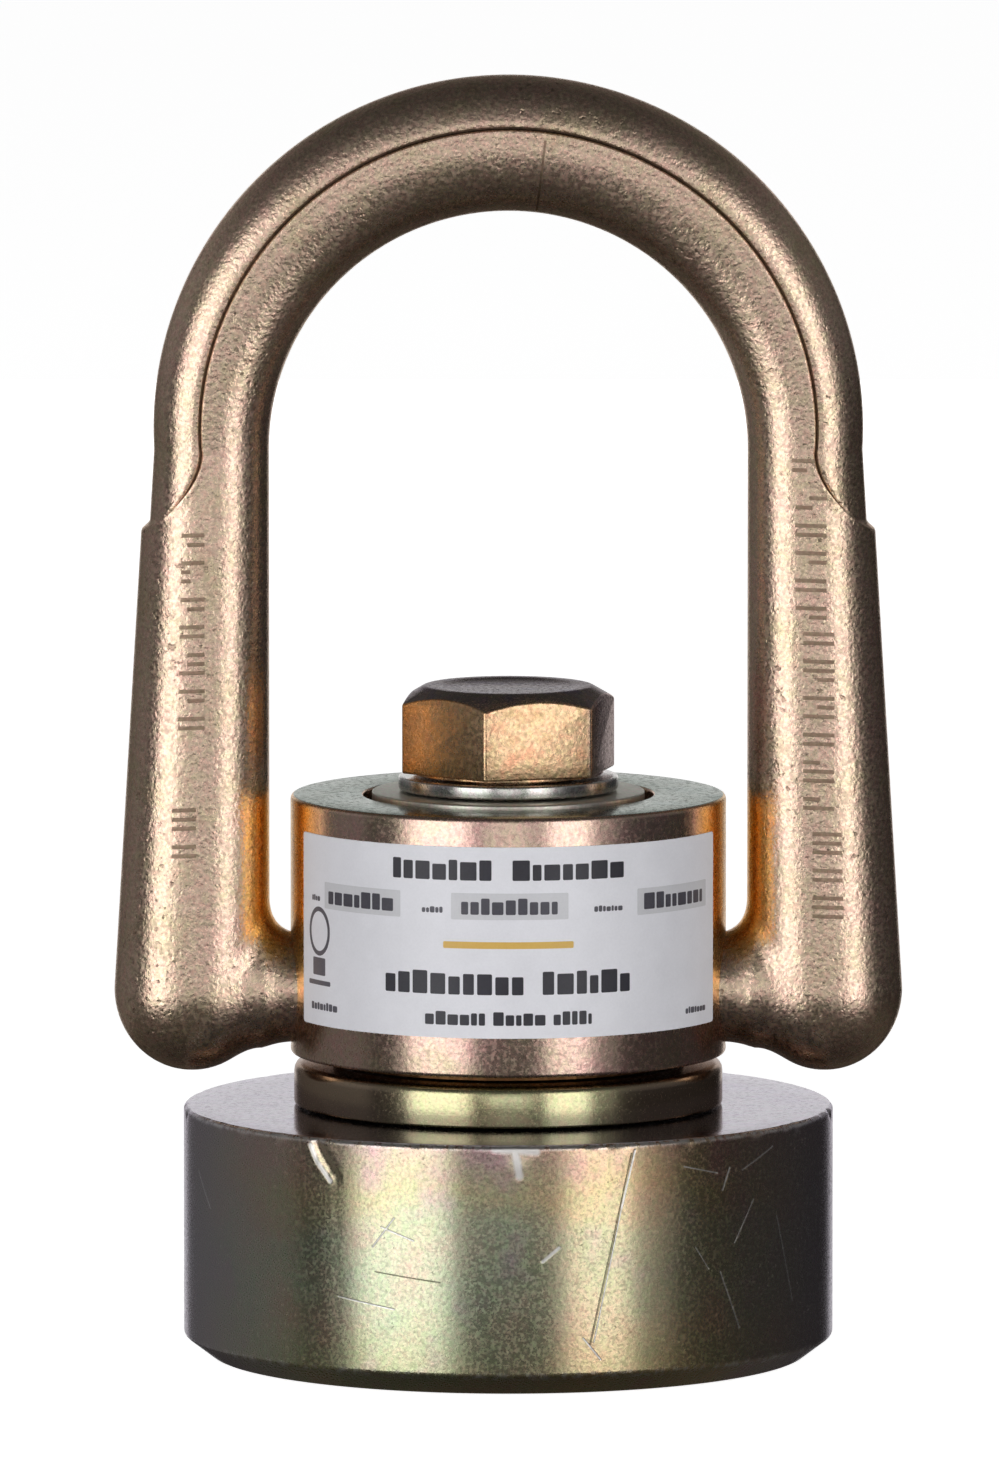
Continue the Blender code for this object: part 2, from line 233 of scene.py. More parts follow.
def leg_section(height):
    radius = float(leg_radius(height))
    relief = min(max((height - RELIEF_START) / RELIEF_RUN, 0.0), 1.0)
    relief = relief * relief * (3 - 2 * relief)
    fall = (ARCH_SPRING - height) / (ARCH_SPRING - RELIEF_START)
    if fall <= 1:
        step = min(STEP_SPRING + (1 - STEP_SPRING) * fall ** STEP_CURVE, STEP_FOOT)
    else:
        step = STEP_FOOT + (STEP_SPRING - STEP_FOOT) * min((fall - 1) / 2, 1)
    return Section((LEG_INSIDE + radius, height), (1, 0), radius, radius * LEG_DEPTH_SHARE, relief, step)


def arch_section(angle):
    rise = sin(angle)
    width = SPRING_RADIUS + (CROWN_RADIUS - SPRING_RADIUS) * rise
    spring_depth = SPRING_RADIUS * LEG_DEPTH_SHARE
    depth = spring_depth + (CROWN_DEPTH - spring_depth) * rise
    reach = LEG_INSIDE + width
    centre = (reach * cos(angle), ARCH_SPRING + reach * sin(angle))
    step = STEP_SPRING + (STEP_CROWN - STEP_SPRING) * rise ** 0.6
    return Section(centre, (cos(angle), sin(angle)), width, depth, 1.0, step)


# Profile of the step: degrees past the step's angle, and how far the surface drops there
STEP_SHAPE = [(-9.0, 0.0), (-5.0, -0.03 * MM), (-2.5, -0.08 * MM), (-0.6, -0.04 * MM),
              (0.5, 0.35 * MM), (1.5, 1.25 * MM), (2.8, 1.42 * MM), (4.5, 1.32 * MM),
              (8.0, RELIEF)]
# The step's corner is coloured darker: painted shade
CREASE_FIRST, CREASE_LAST = 5, 7     # the steps of that profile that lie in shade
INNER_FACETS = 34                    # round half a section, before and after the step
OUTER_FACETS = 26
ARCH_STEPS = 150


def on_section(section, angle, drop, side):
    """The place at an angle from the inner side, on the front (-1) or back (1), and a drop below it."""
    across = -cos(radians(angle))
    along = across * (section.width - drop)
    x = section.centre[0] + section.outward[0] * along
    z = section.centre[1] + section.outward[1] * along
    return Vector((x, side * face_height(across) * (section.depth - drop), z))


def section_loop(section):
    """Points round one section: the full inner side, the step, and the lower outer side."""
    step = degrees(acos(-section.step))
    first = step + STEP_SHAPE[0][0]
    last = min(step + STEP_SHAPE[-1][0], 179.0)
    half = [(first * i / INNER_FACETS, 0.0) for i in range(INNER_FACETS)]
    half += [(min(step + angle, 179.0 - 0.1 * (len(STEP_SHAPE) - i)), drop * section.relief)
             for i, (angle, drop) in enumerate(STEP_SHAPE)]
    half += [(last + (180 - last) * i / OUTER_FACETS, RELIEF * section.relief)
             for i in range(1, OUTER_FACETS + 1)]
    front = [on_section(section, angle, drop, -1) for angle, drop in half]
    return front + [on_section(section, angle, drop, 1) for angle, drop in reversed(half[1:-1])]


def crease_columns():
    """Columns of faces in the step's own corner, on the front half and on the back half, which take the
    painted shade.
    """
    half = INNER_FACETS + len(STEP_SHAPE) + OUTER_FACETS
    front = range(INNER_FACETS + CREASE_FIRST, INNER_FACETS + CREASE_LAST)
    return {*front, *(2 * half - 3 - column for column in front)}


def loft(bm, loops, creased):
    """Skin the loops. Where creased is true for a loop, the step's corner takes the second material, a
    painted shade.
    """
    rings = [[bm.verts.new(point) for point in loop] for loop in loops]
    count = len(rings[0])
    columns = crease_columns()
    for ring, following, crease in zip(rings, rings[1:], creased):
        for index in range(count):
            after = (index + 1) % count
            face = bm.faces.new([ring[index], ring[after], following[after], following[index]])
            if crease and index in columns:
                face.material_index = 1


def spread(low, high, spacing):
    """Evenly spaced values from low up to, but not including, high."""
    count = max(1, round(abs(high - low) / spacing))
    return [low + (high - low) * i / count for i in range(count)]


FOOT_CUT = 74.0 * MM                 # the foot's own mesh ends here and the lofted bar begins
FOOT_ROUGH_TOP = 90.0 * MM
FOOT_FIT_TOP = 84.0 * MM             # the rough foot is fitted to its true shape up to here
FOOT_FIT_PASSES = 12
FOOT_VOXEL = 0.6 * MM
FOOT_BLEND = 5.5 * MM                # how softly leg and trunnion run together


def foot_distance(points):
    """Rough distance to the right leg with its rounded end and its trunnion."""
    x, y, z = points.T
    radius = leg_radius(z)
    centre = LEG_INSIDE + radius
    below = np.minimum(z - PIN_HEIGHT, 0) * FOOT_RADIUS / FOOT_DROP
    level = np.abs(x - centre) ** SECTION_POWER + np.abs(y / LEG_DEPTH_SHARE) ** SECTION_POWER
    leg = np.hypot(level ** (1 / SECTION_POWER), below) - radius
    pin = np.hypot(y, z - PIN_HEIGHT) - PIN_RADIUS
    pin += 0.6 * np.maximum(x - LEG_INSIDE - 1 * MM, 0)
    pin = np.maximum(pin, x - LEG_INSIDE - FOOT_RADIUS)
    mix = np.clip(0.5 + 0.5 * (pin - leg) / FOOT_BLEND, 0, 1)
    joined = pin * (1 - mix) + leg * mix - FOOT_BLEND * mix * (1 - mix)
    return np.maximum(joined, PIN_END - x)


def foot_mesh():
    """The right foot: leg, rounded end and trunnion as one smooth forging, open at FOOT_CUT."""
    rough = turned([(FOOT_RADIUS, FOOT_ROUGH_TOP), (FOOT_RADIUS, PIN_HEIGHT),
                    (FOOT_RADIUS * 0.7, PIN_HEIGHT - FOOT_DROP * 0.7),
                    (0, PIN_HEIGHT - FOOT_DROP), (0, FOOT_ROUGH_TOP)], 32)
    bmesh.ops.translate(rough, verts=rough.verts, vec=(LEG_INSIDE + FOOT_RADIUS, 0, 0))
    pin = turned([(PIN_RADIUS, LEG_INSIDE + FOOT_RADIUS), (PIN_RADIUS, PIN_END),
                  (0, PIN_END), (0, LEG_INSIDE + FOOT_RADIUS)], 32)
    pin.transform(Matrix.Translation((0, 0, PIN_HEIGHT)) @ Matrix.Rotation(pi / 2, 4, "Y"))
    merge(rough, pin)
    item = new_object("foot", rough)
    remesh = item.modifiers.new("remesh", "REMESH")
    remesh.mode = "VOXEL"
    remesh.voxel_size = FOOT_VOXEL
    bpy.context.view_layer.update()
    apply_modifiers(item)
    count = len(item.data.vertices)
    points = np.empty(count * 3)
    item.data.vertices.foreach_get("co", points)
    points = points.reshape(-1, 3)
    nudge = 0.02 * MM
    for _ in range(FOOT_FIT_PASSES):
        value = foot_distance(points)
        slope = np.stack([(foot_distance(points + nudge * axis) - value) / nudge
                          for axis in np.eye(3)], 1)
        size = np.maximum((slope ** 2).sum(1), 0.25)
        move = -(value / size)[:, None] * slope
        length = np.linalg.norm(move, axis=1, keepdims=True)
        move *= np.minimum(1, 0.5 * MM / np.maximum(length, 1e-9))
        inside = points[:, 2] < FOOT_FIT_TOP
        points[inside] += move[inside]
    item.data.vertices.foreach_set("co", points.ravel())
    bm = bmesh.new()
    bm.from_mesh(item.data)
    bpy.data.objects.remove(item, do_unlink=True)
    bmesh.ops.bisect_plane(bm, geom=bm.verts[:] + bm.edges[:] + bm.faces[:], clear_outer=True,
                           plane_co=(0, 0, FOOT_CUT), plane_no=(0, 0, 1))
    return bm


def open_edges(bm, side, height):
    """Boundary edges of the open ring near one height, on one side."""
    return [edge for edge in bm.edges if edge.is_boundary and edge.verts[0].co.x * side > 0
            and abs(edge.verts[0].co.z - height) < 0.3 * MM]


def make_bail():
    margin = 0.5 * MM
    heights = spread(FOOT_CUT + margin, RELIEF_START - margin, 1.0 * MM)
    heights += spread(RELIEF_START - margin, ARCH_SPRING, 0.4 * MM)
    legs = [leg_section(height) for height in heights]
    arch = [arch_section(pi * i / ARCH_STEPS) for i in range(ARCH_STEPS + 1)]
    right = [section_loop(section) for section in legs]
    left = [[Vector((-p.x, p.y, p.z)) for p in loop] for loop in reversed(right)]
    over = [section_loop(section) for section in arch]
    bm = bmesh.new()
    creased = [section.relief > 0.05 for section in legs]
    loft(bm, right + over + left, creased + [True] * len(arch) + creased[::-1])
    merge(bm, foot_mesh(), mirrored=True)
    for side in (1, -1):
        edges = open_edges(bm, side, FOOT_CUT) + open_edges(bm, side, FOOT_CUT + margin)
        bmesh.ops.bridge_loops(bm, edges=edges)
    face_outward(bm)
    return new_object("bail_forging", bm)


# ---- stamped marks on the legs

MARK_DEPTH = 0.20 * MM
MARK_LINE = 0.60 * MM                # stroke of one mark
MARK_WIDTH = 4.6 * MM
MARK_PITCH = 1.35 * MM               # between the strokes of a group
MARK_GAP = 2.1 * MM                  # between groups
LINE_DEPTH = 0.24 * MM               # of the groove across the arch
LINE_WIDTH = 0.34 * MM


def add_box(bm, centre, size, lean=0.0):
    matrix = Matrix.Translation(centre) @ Matrix.Rotation(lean, 4, "Y")
    matrix = matrix @ Matrix.Diagonal((*size, 1))
    bmesh.ops.create_cube(bm, size=1, matrix=matrix)


def stamp_leg(cutter, side, runs, lean, seed):
    """Groups of plain strokes across one leg. A run is its top, bottom and middle line in mm."""
    rng = random.Random(seed)
    for run in runs:
        height, bottom, middle = [value * MM for value in run]
        while height > bottom:
            for _ in range(rng.choice((2, 3, 2))):
                radius = float(leg_radius(height))
                share = (middle - LEG_INSIDE - radius) / radius
                front = -face_height(share) * radius * LEG_DEPTH_SHARE
                wide = MARK_WIDTH * rng.choice((1.0, 1.0, 0.55))
                across = middle + (MARK_WIDTH - wide) / 2 * rng.choice((1, -1))
                add_box(cutter, (side * across, front, height), (wide, 2 * MARK_DEPTH, MARK_LINE), lean)
                height -= MARK_PITCH
            height -= MARK_GAP - MARK_PITCH + MARK_LINE


def add_arch_line(cutter):
    """A fine groove across the inner half of the arch's front, just right of the crown."""
    angle = radians(83.3)
    section = arch_section(angle)
    tangent = Vector((-sin(angle), 0, cos(angle))) * LINE_WIDTH / 2
    last = degrees(acos(-section.step)) - 6
    rings = []
    for place in spread(14, last, 2) + [last]:
        rings.append([cutter.verts.new(on_section(section, place, drop, -1) + tangent * side)
                      for drop, side in ((-0.5 * MM, 1), (-0.5 * MM, -1),
                                         (LINE_DEPTH, -1), (LINE_DEPTH, 1))])
    skin(cutter, rings)
    face_outward(cutter)


def stamp_bail(bail, material):
    cutter = bmesh.new()
    add_arch_line(cutter)
    stamp_leg(cutter, -1, [(122.0, 92.0, 46.9), (81.5, 75.5, 48.2)], radians(-2), 21)
    stamp_leg(cutter, 1, [(133.0, 131.0, 43.6), (127.5, 111.0, 44.4), (107.5, 81.5, 45.6),
                          (78.0, 67.5, 47.0)], radians(2), 22)
    tool = new_object("stamp_tool", cutter)
    tool.data.materials.append(material)
    boolean(bail, tool, materials="TRANSFER")


# ---- turned pieces

BASE_STEPS = 600
LARGE_STEPS = 360
SMALL_STEPS = 192
BOLT_RADIUS = 9.525 * MM
BOLT_HOLE = BOLT_RADIUS + 0.35 * MM
CHAMFER_HEIGHT = 3.1 * MM
CHAMFER_WIDTH = 4.1 * MM
TAP_POINT = 6.0 * MM                 # lowest point of the drilled cone under the base's tapped hole
TAP_FLOOR = 9.5 * MM
FLANGE_TOP = 43.4 * MM
SLEEVE_RADIUS = 15.0 * MM            # the bushing's sleeve, which the body turns on
BORE_RADIUS = 21.4 * MM              # the body's counterbore
BORE_FLOOR = 74.5 * MM
BODY_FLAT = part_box("swivel_body")[1].x
BODY_FLAT_TOP = 62.8 * MM


def mark_upper_faces(item, limit=0.9):
    """Give the faces that look up the second material."""
    for face in item.data.polygons:
        if face.normal.z > limit:
            face.material_index = 1


# Dents in the base's rim: degrees from the front, then in millimetres the distance below the top,
# half width, half height and depth
BASE_DENTS = [(-35.8, 1.0, 0.6, 0.9, 0.40), (-35.0, 2.1, 0.6, 0.9, 0.40), (-34.0, 3.2, 0.6, 0.9, 0.40),
              (-32.9, 4.3, 0.6, 0.9, 0.35), (-31.7, 5.4, 0.5, 0.9, 0.25), (-16.0, 0.3, 1.6, 0.8, 0.22),
              (1.5, 0.6, 1.5, 1.6, 0.22), (14.5, 0.2, 0.9, 0.7, 0.25), (19.5, 0.3, 1.2, 0.8, 0.28),
              (33.0, 0.3, 0.8, 0.7, 0.22), (62.0, 0.4, 1.0, 0.9, 0.25)]
SMALL_DENTS = 26                     # more of them, at random round the sides and back


def make_base():
    top, rim = base.high, base.radius
    tap = BOLT_RADIUS + 0.3 * MM
    profile = [(rim - 6 * MM, top, 0), (rim - 0.45 * MM, top, 0.3 * MM), (rim, top - 0.45 * MM, 0.3 * MM)]
    profile += [(rim, top - (1.0 + 0.5 * i) * MM, 0) for i in range(13)]
    profile += [(rim, CHAMFER_HEIGHT, 0.5 * MM), (rim - CHAMFER_WIDTH, 0, 0.4 * MM), (0, 0, 0),
                (0, TAP_POINT, 0), (tap, TAP_FLOOR, 0), (tap, top - 1 * MM, 0), (tap + 1 * MM, top, 0)]
    bm = turned(soften(profile), BASE_STEPS)
    rng = random.Random(5)
    dents = list(BASE_DENTS)
    for _ in range(SMALL_DENTS):
        dents.append((rng.uniform(40, 320), rng.uniform(0.1, 0.6), rng.uniform(0.5, 1.3),
                      rng.uniform(0.4, 0.9), rng.uniform(0.1, 0.25)))
    for vert in bm.verts:
        x, y, z = vert.co
        reach = hypot(x, y)
        if reach < rim - 1.2 * MM or z < top - 9 * MM:
            continue
        angle = degrees(atan2(x, -y))
        push = 0.0
        for place, below, half_width, half_height, depth in dents:
            away = ((angle - place + 180) % 360 - 180) * pi / 180 * rim / (half_width * MM)
            down = (top - below * MM - z) / (half_height * MM)
            push += depth * MM * exp(-away * away - down * down)
        vert.co.x -= push * x / reach
        vert.co.y -= push * y / reach
    return new_object("base_weld_disc", bm)


def make_bushing():
    low = bushing.low
    profile = [(SLEEVE_RADIUS, bushing.high, 0.5 * MM), (SLEEVE_RADIUS, FLANGE_TOP, 0),
               (bushing.radius, FLANGE_TOP, 1.4 * MM), (bushing.radius, low, 0.4 * MM),
               (BOLT_HOLE, low, 0), (BOLT_HOLE, bushing.high, 0)]
    return new_object("bushing_flange", turned(soften(profile), LARGE_STEPS))


def make_body():
    low, high, rim = body.low, body.high, body.radius
    inside = SLEEVE_RADIUS + 0.3 * MM
    profile = [(rim, high, 0.75 * MM), (rim, low, 0.6 * MM), (inside, low, 0.3 * MM),
               (inside, BORE_FLOOR, 0), (BORE_RADIUS, BORE_FLOOR, 0), (BORE_RADIUS, high, 0.35 * MM)]
    item = new_object("body_shell", turned(soften(profile), LARGE_STEPS))
    tall = BODY_FLAT_TOP - low + 2 * MM
    for side in (1, -1):
        block = bmesh.new()
        add_box(block, (side * (BODY_FLAT + 5 * MM), 0, BODY_FLAT_TOP - tall / 2), (10 * MM, 40 * MM, tall))
        boolean(item, new_object("flat", block))
    hole = PIN_RADIUS + 0.3 * MM
    mouth = BODY_FLAT + 0.2 * MM
    floor = PIN_END - 0.4 * MM
    for side in (1, -1):
        drill = turned([(hole + 0.6 * MM, rim + 1 * MM), (hole + 0.6 * MM, mouth), (hole, mouth - 0.6 * MM),
                        (hole, floor), (0, floor), (0, rim + 1 * MM)], 96)
        drill.transform(Matrix.Translation((0, 0, PIN_HEIGHT)) @ Matrix.Rotation(side * pi / 2, 4, "Y"))
        boolean(item, new_object("drill", drill))
    return item


def make_plain_washer(name, span, inside, rounding):
    profile = [(span.radius, span.high, rounding), (span.radius, span.low, rounding),
               (inside, span.low, 0.1 * MM), (inside, span.high, 0.2 * MM)]
    return new_object(name, turned(soften(profile), SMALL_STEPS))


# ---- cap screw

HEAD_HEIGHT = 13.0 * MM
HEAD_FLATS = 28.575 * MM
HEAD_TOP_RADIUS = 12.4 * MM
HEAD_TURN = radians(48.0)
THREAD_PITCH = 2.54 * MM
THREAD_DEPTH = 1.4 * MM
THREAD_LENGTH = 44.0 * MM


def make_shank(top):
    """Shank with a real helical thread over its lower end."""
    steps = 48
    rows = 12
    start = bolt.low + THREAD_LENGTH
    heights = [bolt.low + i * THREAD_PITCH / rows for i in range(int(THREAD_LENGTH / THREAD_PITCH * rows))]
    heights += [start, top]
    bm = bmesh.new()
    rings = []
    for height in heights:
        ring = []
        for step in range(steps):
            share = step / steps
            wave = abs(2 * ((height / THREAD_PITCH - share) % 1.0) - 1)
            fade = min(1.0, (start - height) / (2 * THREAD_PITCH)) if height < start else 0.0
            lead = min(1.0, (height - bolt.low) / (1.5 * MM))
            cut = THREAD_DEPTH * max(min(wave * 1.25 - 0.1, 1.0), 0.0) * fade
            radius = BOLT_RADIUS - max(cut, (1 - lead) * 1.5 * MM)
            angle = 2 * pi * share
            ring.append(bm.verts.new((radius * cos(angle), radius * sin(angle), height)))
        rings.append(ring)
    skin(bm, rings, capped=False)
    bm.faces.new(list(reversed(rings[0])))
    bm.faces.new(rings[-1])
    return new_object("shank", bm)


def make_bolt():
    top = bolt.high
    under = top - HEAD_HEIGHT
    corner = HEAD_FLATS / sqrt(3)
    prism = turned([(corner, top), (corner, under + 0.4 * MM), (0, under + 0.4 * MM), (0, top)], 6,
                   HEAD_TURN - pi / 2)
    head = new_object("cap_screw", prism)
    rim = corner + 1 * MM
    drop = (rim - HEAD_TOP_RADIUS) * tan(radians(30))
    dish = 0.18 * MM
    cone = turned([(HEAD_TOP_RADIUS, top), (rim, top - drop), (rim, under - 1 * MM), (0, under - 1 * MM),
                   (0, top - dish), (HEAD_TOP_RADIUS - 3.2 * MM, top - dish),
                   (HEAD_TOP_RADIUS - 2.4 * MM, top)], SMALL_STEPS)
    boolean(head, new_object("cone", cone), "INTERSECT")
    bevel = head.modifiers.new("bevel", "BEVEL")
    bevel.width = 0.42 * MM
    bevel.segments = 3
    bevel.limit_method = "ANGLE"
    bevel.angle_limit = radians(24)
    apply_modifiers(head)
    reach = HEAD_FLATS / 2 - 0.3 * MM
    face = turned(soften([(reach, under + 1 * MM, 0), (reach, under, 0.15 * MM), (0, under, 0),
                          (0, under + 1 * MM, 0)]), SMALL_STEPS)
    boolean(head, new_object("washer_face", face), "UNION")
    return boolean(head, make_shank(under + 1 * MM), "UNION")


# ---- label

LABEL_HALF = radians(68.5)
LABEL_INNER = body.radius + 0.04 * MM
LABEL_OUTER = body.radius + 0.20 * MM
INK_RADIUS = LABEL_OUTER + 0.03 * MM


def on_body(along, height, radius):
    """The place this far round from the middle of the body's front and this high, at a radius."""
    angle = along / body.radius
    return Vector((radius * sin(angle), -radius * cos(angle), height))


def add_patch(bm, left, right, low, high, corner, inner, outer, spacing):
    """A thin closed sheet with rounded corners, wrapped round the body."""
    corner = min(corner, (right - left) / 2, (high - low) / 2)
    columns = [left + corner * (1 - cos(pi / 2 * i / 5)) for i in range(5)]
    columns += spread(left + corner, right - corner, spacing)
    columns += [right - corner + corner * sin(pi / 2 * i / 5) for i in range(6)]
    rings = []
    for place in columns:
        edge = max(left + corner - place, place - (right - corner), 0)
        inset = corner - sqrt(max(corner ** 2 - edge ** 2, 0))
        inset = min(inset, (high - low) / 2 - 0.02 * MM)
        rings.append([bm.verts.new(on_body(place, height, radius))
                      for height, radius in ((low + inset, inner), (high - inset, inner),
                                             (high - inset, outer), (low + inset, outer))])
    skin(bm, rings)


def add_ring(bm, along, height, outside, inside, inner, outer, stretch):
    """A thin closed ring, wrapped round the body and stretched in height."""
    steps = 40
    rings = []
    for step in range(steps):
        angle = 2 * pi * step / steps
        ring = []
        for reach, radius in ((outside, inner), (outside, outer), (inside, outer), (inside, inner)):
            ring.append(bm.verts.new(on_body(along + reach * cos(angle),
                                             height + reach * stretch * sin(angle), radius)))
        rings.append(ring)
    skin(bm, rings + rings[:1], capped=False)


def make_label():
    sheet = bmesh.new()
    half = LABEL_HALF * body.radius
    add_patch(sheet, -half, half, label.low, label.high, 0.5 * MM, LABEL_INNER, LABEL_OUTER, 0.7 * MM)
    face_outward(sheet)
    return new_object("label_vinyl", sheet)


def make_print(name, bars, rings=(), lift=0.0):
    """One colour of print: bars are (left, right, middle height, height), in millimetres."""
    ink = bmesh.new()
    surface = INK_RADIUS + lift * MM
    for left, right, middle, tall in bars:
        add_patch(ink, left * MM, right * MM, (middle - tall / 2) * MM, (middle + tall / 2) * MM,
                  0.2 * MM, LABEL_OUTER - 0.02 * MM, surface, 0.8 * MM)
    for along, height, outside, inside, stretch in rings:
        add_ring(ink, along * MM, height * MM, outside * MM, inside * MM,
                 LABEL_OUTER - 0.02 * MM, surface, stretch)
    face_outward(ink)
    return new_object(name, ink)


def words(*runs):
    """Plain upright blocks where a label has words: no letters, numbers or marks.

    Each run is its left end, right end, middle height, height and seed.
    """
    bars = []
    for left, right, middle, tall, seed in runs:
        rng = random.Random(seed)
        while left < right - 0.25 * tall:
            wide = min(rng.uniform(0.38, 0.86) * tall, right - left)
            high = tall * rng.choice((1.0, 0.78, 0.78, 0.9))
            bars.append((left, left + wide, middle - (tall - high) / 2, high))
            left += wide + 0.14 * tall
    return bars


# Heights on the label, in millimetres
TITLE_LINE = 75.4
FIELD_LINE = 70.1
MAKER_LINE = 58.8
FOOT_LINE = 53.6
DARK_BARS = words((-17.6, -1.6, TITLE_LINE, 3.0, 1), (0.6, 17.6, TITLE_LINE, 3.0, 2),
                  (-18.9, 3.0, MAKER_LINE, 3.4, 3), (5.0, 18.9, MAKER_LINE, 3.4, 4),
                  (-12.4, -3.4, FOOT_LINE, 2.0, 5), (-2.2, 5.4, FOOT_LINE, 2.0, 6),
                  (6.6, 12.4, FOOT_LINE, 2.0, 7))
FINE_BARS = words((-35.2, -32.6, FIELD_LINE - 0.6, 0.9, 8), (-12.9, -9.7, FIELD_LINE - 0.6, 0.9, 9),
                  (12.8, 17.4, FIELD_LINE - 0.6, 0.9, 10), (-35.4, -28.2, 53.6, 1.2, 11),
                  (30.0, 35.6, 53.2, 1.0, 12))
FIELD_BARS = words((-30.6, -17.6, FIELD_LINE, 2.4, 13), (-6.9, 7.2, FIELD_LINE, 2.4, 14),
                   (21.2, 34.4, FIELD_LINE, 2.4, 15))
FIELDS = [(-31.6, -16.4, FIELD_LINE, 3.9), (-8.4, 8.8, FIELD_LINE, 3.9), (20.0, 35.6, FIELD_LINE, 3.9)]
STRIPE = [(-9.6, 9.6, 64.4, 1.0)]
ICON_CENTRE = -33.2
ICON_BARS = [(ICON_CENTRE - 1.7, ICON_CENTRE + 1.7, 59.4, 2.6),
             (ICON_CENTRE - 3.0, ICON_CENTRE + 3.0, 57.0, 0.7)]
ICON_RING = [(ICON_CENTRE, 64.6, 2.9, 2.35, 1.25)]


# ---- node materials

def srgb(red, green, blue):
    """A linear colour from the three numbers that a paint chart gives."""
    return tuple(((v / 255 + 0.055) / 1.055) ** 2.4 if v > 10 else v / 255 / 12.92
                 for v in (red, green, blue)) + (1.0,)


class Nodes:
    """A node tree, built up from nothing."""

    def __init__(self, tree):
        self.tree = tree
        tree.nodes.clear()

    def node(self, kind, *values, **named):
        """A new node: values for its first sockets, settings in small letters, and sockets by name."""
        made = self.tree.nodes.new("ShaderNode" + kind)
        for name in [name for name in named if name.islower()]:
            setattr(made, name, named.pop(name))
        for index, value in enumerate(values):
            self.set(made, index, value)
        for name, value in named.items():
            self.set(made, name.replace("_", " "), value)
        return made

    def set(self, node, name, value):
        if isinstance(value, bpy.types.NodeSocket):
            self.tree.links.new(value, node.inputs[name])
        else:
            node.inputs[name].default_value = value

    def span(self, value, low, high, start=0.0, end=1.0):
        return self.node("MapRange", value, low, high, start, end).outputs[0]

    def ramp(self, value, *stops):
        made = self.node("ValToRGB", value)
        elements = made.color_ramp.elements
        for index, (position, colour) in enumerate(stops):
            element = elements[index] if index < 2 else elements.new(position)
            element.position = position
            element.color = colour
        return made.outputs[0]


